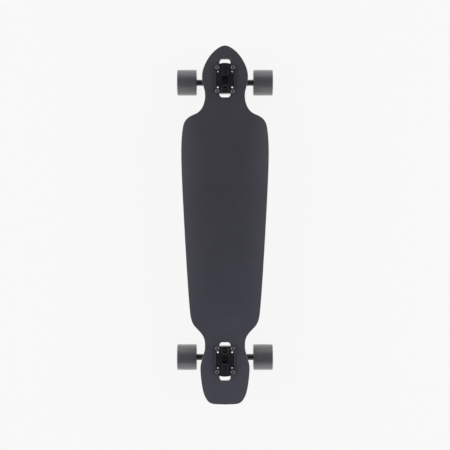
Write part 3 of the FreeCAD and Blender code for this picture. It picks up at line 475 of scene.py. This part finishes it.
def make_piece(name, slot, shapes, body=None):
    """One mesh from several shapes, in its slot's material, riding on a body if one is given."""
    points, faces = [], []
    for shape_points, shape_faces in shapes:
        first = len(points)
        points += shape_points
        faces += [tuple(first + corner for corner in face) for face in shape_faces]
    mesh = bpy.data.meshes.new(name)
    mesh.from_pydata(points, [], faces)
    mesh.shade_smooth()
    mesh.set_sharp_from_angle(angle=SHARP_ANGLE)
    mesh.materials.append(MATERIALS[slot])
    piece = bpy.data.objects.new(name, mesh)
    bpy.context.scene.collection.objects.link(piece)
    if body:
        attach(piece, body)
    return piece


def bushing_profile(height, rows=12):
    """Section of a bushing from its hanger end (0) to its washer end, with a shallow waist."""
    side = []
    for row in range(rows + 1):
        share = row / rows
        along = BUSHING_CHAMFER + share * (height - 2 * BUSHING_CHAMFER)
        side.append((BUSHING_RADIUS - BUSHING_WAIST * math.sin(math.pi * share), along))
    shoulder = BUSHING_RADIUS - BUSHING_CHAMFER
    return [(BUSHING_BORE, 0.0), (shoulder, 0.0), *side, (shoulder, height), (BUSHING_BORE, height)]


def add_bushings(end):
    """Urethane bushings turned about the kingpin, one from each face of the hanger's ring, in place of the solid
    ones.
    """
    middle, down = kingpin_axis(end)
    for name, way, height in (("boardside", -1, BOARDSIDE_HEIGHT), ("roadside", 1, ROADSIDE_HEIGHT)):
        at_ring = middle + down * way * HALF_WEB
        shape = turned(at_ring, down * way, bushing_profile(height))
        piece = make_piece("%s_%s_bushing_soft" % (end, name), "bushing_urethane", [shape])
        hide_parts("%s_%s_bushing" % (end, name))
        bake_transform(piece)


def add_well_rim(end, rows=8):
    """Raised half-round rim at the mouth of the kingpin well, on top of the baseplate."""
    inwards = -1 if TRUCK_Y[end] > 0 else 1
    place = Vector((0, TRUCK_Y[end] + inwards * WELL_CENTRE, PLATE_TOP))
    section = [(WELL_RADIUS, -WELL_RIM_HEIGHT)]
    for row in range(rows + 1):
        angle = math.pi * row / rows
        radius = WELL_RADIUS + WELL_RIM_WIDTH * (1 - math.cos(angle)) / 2
        section.append((radius, WELL_RIM_HEIGHT * math.sin(angle)))
    section.append((WELL_RADIUS + WELL_RIM_WIDTH, -WELL_RIM_HEIGHT))
    make_piece(end + "_well_rim", "truck_paint", [turned(place, UP, section)], "board")


def lock_ring(place, axis, inner):
    """Nylon ring in the end of a lock nut, a little proud of it."""
    outer = inner + LOCK_RING_WIDTH
    return turned(place, axis, [
        (inner, -LOCK_RING_DEPTH), (outer, -LOCK_RING_DEPTH), (outer, 0.0),
        ((inner + outer) / 2, LOCK_RING_RISE), (inner, 0.0)], segments=40)


def deck_bolt_places(end):
    """Middle of each deck nut's lower face."""
    return [Vector((side * BOLT_HALF_ACROSS, TRUCK_Y[end] + way * BOLT_HALF_ALONG, nuts_low.z))
            for side in SIDES for way in SIDES]


def add_fastener_details(end):
    """Threads past the nuts, and the nylon rings of the lock nuts."""
    middle, down = kingpin_axis(end)
    nut_end = middle + down * KINGPIN_NUT_END
    bolts = deck_bolt_places(end)
    threads = [thread(nut_end, down, KINGPIN_RADIUS, KINGPIN_PITCH, KINGPIN_POINT)]
    threads += [thread(place, -UP, BOLT_RADIUS, BOLT_PITCH, nuts_low.z - bolts_low.z) for place in bolts]
    make_piece(end + "_threads", "zinc_steel", threads, "board")
    rings = [lock_ring(nut_end, down, KINGPIN_RADIUS)]
    rings += [lock_ring(place, -UP, BOLT_RADIUS) for place in bolts]
    make_piece(end + "_lock_rings", "cage_plastic", rings, "board")
    low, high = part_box(end + "_axle_nuts")
    axle = (low + high) / 2
    rings = [lock_ring(Vector((face, axle.y, axle.z)), ACROSS * side, AXLE_RADIUS)
             for side, face in zip(SIDES, (low.x, high.x))]
    make_piece(end + "_axle_lock_rings", "cage_plastic", rings, end + "_hanger_set")


for truck_end in ENDS:
    add_bushings(truck_end)
    add_well_rim(truck_end)
    add_fastener_details(truck_end)


# Stage
def floor_material():
    """Pale floor: the camera and reflections see the white behind it, under a thin veil that takes the
    shadow, so a wheel that dips below it as a truck leans stays in sight. It is clear from below."""
    g = material_graph("studio_floor")
    path = g.add("LightPath").outputs
    seen = g.math("MAXIMUM", path["Is Camera Ray"], path["Is Glossy Ray"])
    seen = g.math("MAXIMUM", seen, path["Is Transmission Ray"])
    speck = g.noise(scale=40.0, detail=2.0)
    tone = g.remap(speck, (0.0, 1.0), (FLOOR_SHADE * (1 - FLOOR_SPECK), FLOOR_SHADE * (1 + FLOOR_SPECK)))
    shade = g.add("BsdfDiffuse", {"Color": g.grey(tone)})
    veil = g.add("BsdfTransparent", {"Color": shaded(WHITE, FLOOR_CLEAR)})
    shown = g.add("AddShader", {0: shade.outputs[0], 1: veil.outputs[0]})
    bounce = g.add("BsdfDiffuse", {"Color": shaded(WHITE, FLOOR_ALBEDO)})
    above = g.add("MixShader", {0: seen, 1: bounce.outputs[0], 2: shown.outputs[0]})
    clear = g.add("BsdfTransparent")
    backfacing = g.add("NewGeometry").outputs["Backfacing"]
    sided = g.add("MixShader", {0: backfacing, 1: above.outputs[0], 2: clear.outputs[0]})
    g.tree.nodes.remove(g.shader)
    g.connect(sided, "Material Output")
    return g.owner


def add_floor():
    mesh = bpy.data.meshes.new("studio_floor")
    corners = [(x * FLOOR_HALF, y * FLOOR_HALF, 0) for x, y in ((-1, -1), (1, -1), (1, 1), (-1, 1))]
    mesh.from_pydata(corners, [], [(0, 1, 2, 3)])
    floor = bpy.data.objects.new("studio_floor", mesh)
    bpy.context.scene.collection.objects.link(floor)
    mesh.materials.append(floor_material())
    floor.location.z = cad_box[0].z


def add_world():
    """Bright walls under a dim ceiling light the board; the camera sees plain white past the floor, and so
    do reflections, less and less towards the ceiling."""
    world = bpy.data.worlds.new("studio")
    bpy.context.scene.world = world
    g = Graph(world, "Generated")
    _, _, up = g.split(g.coordinates)
    walls = g.remap(up, (0.0, CEILING_FROM), (WALL_LIGHT, CEILING_LIGHT))
    ground = g.remap(up, (GROUND_FROM, 0.0), (FLOOR_BOUNCE, WALL_LIGHT))
    room = g.add("Background", {"Color": WHITE, "Strength": g.math("MINIMUM", walls, ground)})
    white = g.tree.nodes["Background"]
    g.feed(white.inputs["Color"], shaded(WHITE, PHOTO_WHITE))
    path = g.add("LightPath").outputs
    seen = g.math("MAXIMUM", path["Is Camera Ray"], path["Is Transmission Ray"])
    low = g.remap(up, (0.0, CEILING_FROM), (1.0, 0.0))
    seen = g.math("MAXIMUM", seen, g.math("MULTIPLY", path["Is Glossy Ray"], low))
    both = g.add("MixShader", {0: seen, 1: room.outputs[0], 2: white.outputs[0]})
    g.connect(both, "World Output")


def add_softbox(name, side):
    lamp = bpy.data.lights.new(name, "AREA")
    lamp.shape = "RECTANGLE"
    lamp.size, lamp.size_y = SOFTBOX_SIZE
    lamp.energy = SOFTBOX_WATTS
    light = bpy.data.objects.new(name, lamp)
    place = Vector((side * SOFTBOX_ASIDE, 0.0, SOFTBOX_HEIGHT))
    light.location = place
    light.rotation_euler = (-place).to_track_quat("-Z", "Y").to_euler()
    bpy.context.scene.collection.objects.link(light)


def add_camera():
    camera = bpy.data.objects.new("camera", bpy.data.cameras.new("camera"))
    camera.data.sensor_width = SENSOR
    camera.data.lens = SENSOR * CAMERA_ABOVE_DECK / FIELD_AT_DECK
    camera.location = (0.0, 0.0, grip_low.z + CAMERA_ABOVE_DECK)
    bpy.context.scene.collection.objects.link(camera)
    bpy.context.scene.camera = camera


add_floor()
add_world()
add_softbox("left_softbox", -1)
add_softbox("right_softbox", 1)
add_camera()
bpy.context.scene.view_settings.view_transform = "Standard"
